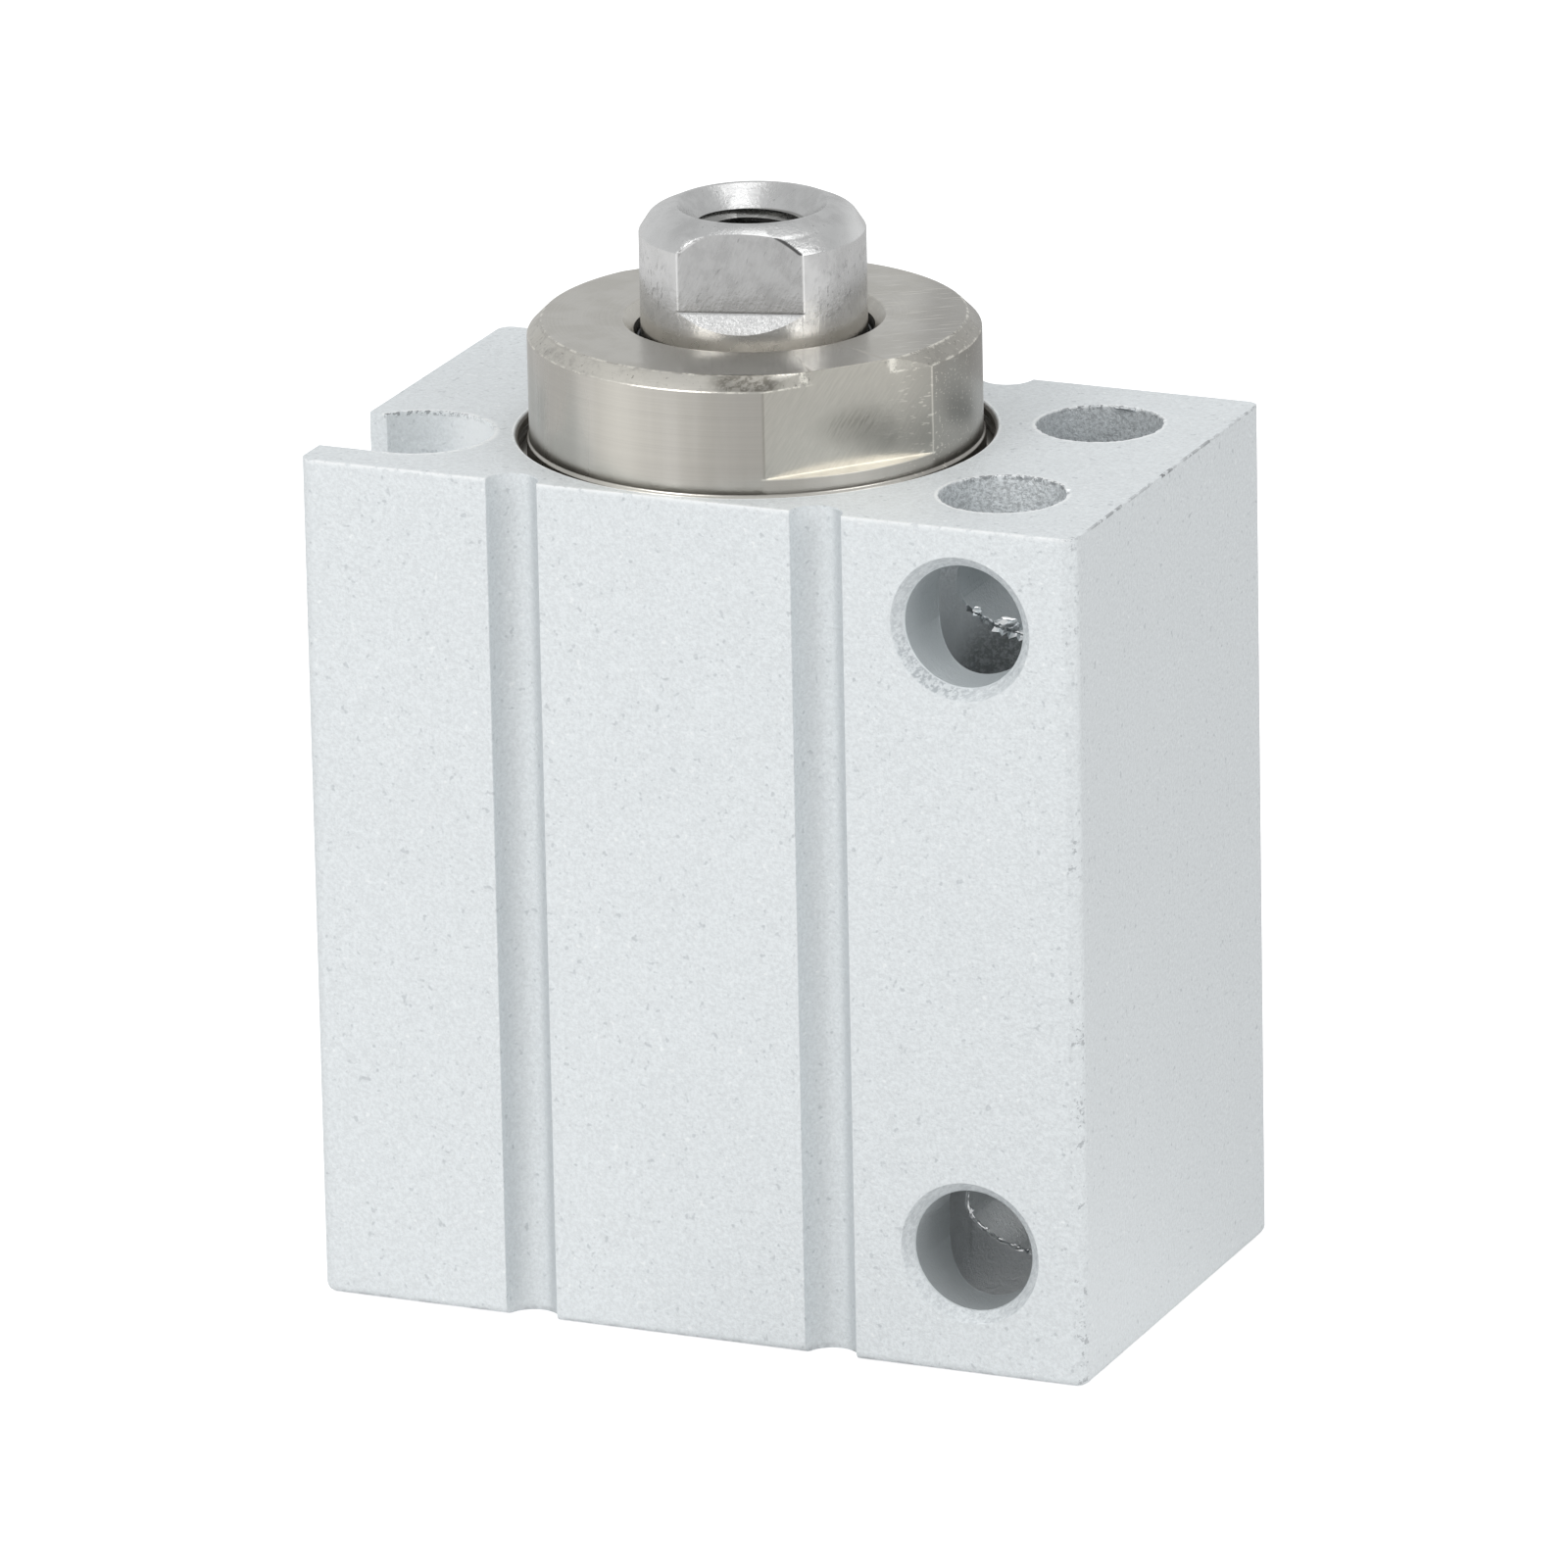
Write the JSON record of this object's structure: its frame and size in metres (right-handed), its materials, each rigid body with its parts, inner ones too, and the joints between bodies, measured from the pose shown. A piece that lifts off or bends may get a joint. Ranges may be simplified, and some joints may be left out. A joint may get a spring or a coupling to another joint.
{
  "type": "compact pneumatic cylinder",
  "caption": "Compact double-acting pneumatic cylinder: block body with sensor slot and mounting holes, screwed round cover and a short female-threaded rod.",
  "frame": {"origin": "the bore axis at the body's rear mounting face", "axes": "+Z out along the rod, -Y the front face with the cross holes, -X the face with the sensor slot and ports"},
  "size_m": [0.0293, 0.0176, 0.0393],
  "materials": {
    "anodised_body": "sand-blasted, clear anodised",
    "nickel_plate": "nickel-plated, turned",
    "stainless_rod": "ground and turned stainless",
    "bronze": "sintered",
    "black_rubber": "nitrile",
    "urethane": "soft urethane",
    "turned_aluminium": "turned",
    "spring_steel": "phosphated",
    "zinc_steel": "zinc-plated",
    "bearing_plastic": "moulded",
    "magnet_plastic": "bonded magnet"
  },
  "bodies": {
    "cylinder": {"cylinder_body": "anodised_body", "rod_cover": "nickel_plate", "rod_bush": "bronze", "rod_wiper": "black_rubber", "rod_seal": "black_rubber", "seal_retainer": "zinc_steel", "cover_o_ring": "black_rubber", "front_bumper": "urethane", "rear_bumper": "urethane", "head_plate": "turned_aluminium", "head_o_ring": "black_rubber", "retaining_ring": "spring_steel"},
    "piston_rings": {"piston_seal": "black_rubber", "wear_ring": "bearing_plastic"},
    "rod": {"piston_rod": "stainless_rod", "piston": "turned_aluminium", "magnet_holder": "turned_aluminium", "piston_magnet": "magnet_plastic", "rod_o_ring": "black_rubber", "piston_screw": "zinc_steel"}
  },
  "joints": [
    {"name": "rod_slide", "type": "slide", "parent": "cylinder", "child": "piston_rings", "axis": [0, 0, 1], "range_m": [0, 0.01]},
    {"name": "rod_turn", "type": "hinge", "parent": "piston_rings", "child": "rod", "pos_m": [0, 0, 0], "axis": [0, 0, 1], "continuous": true}
  ]
}
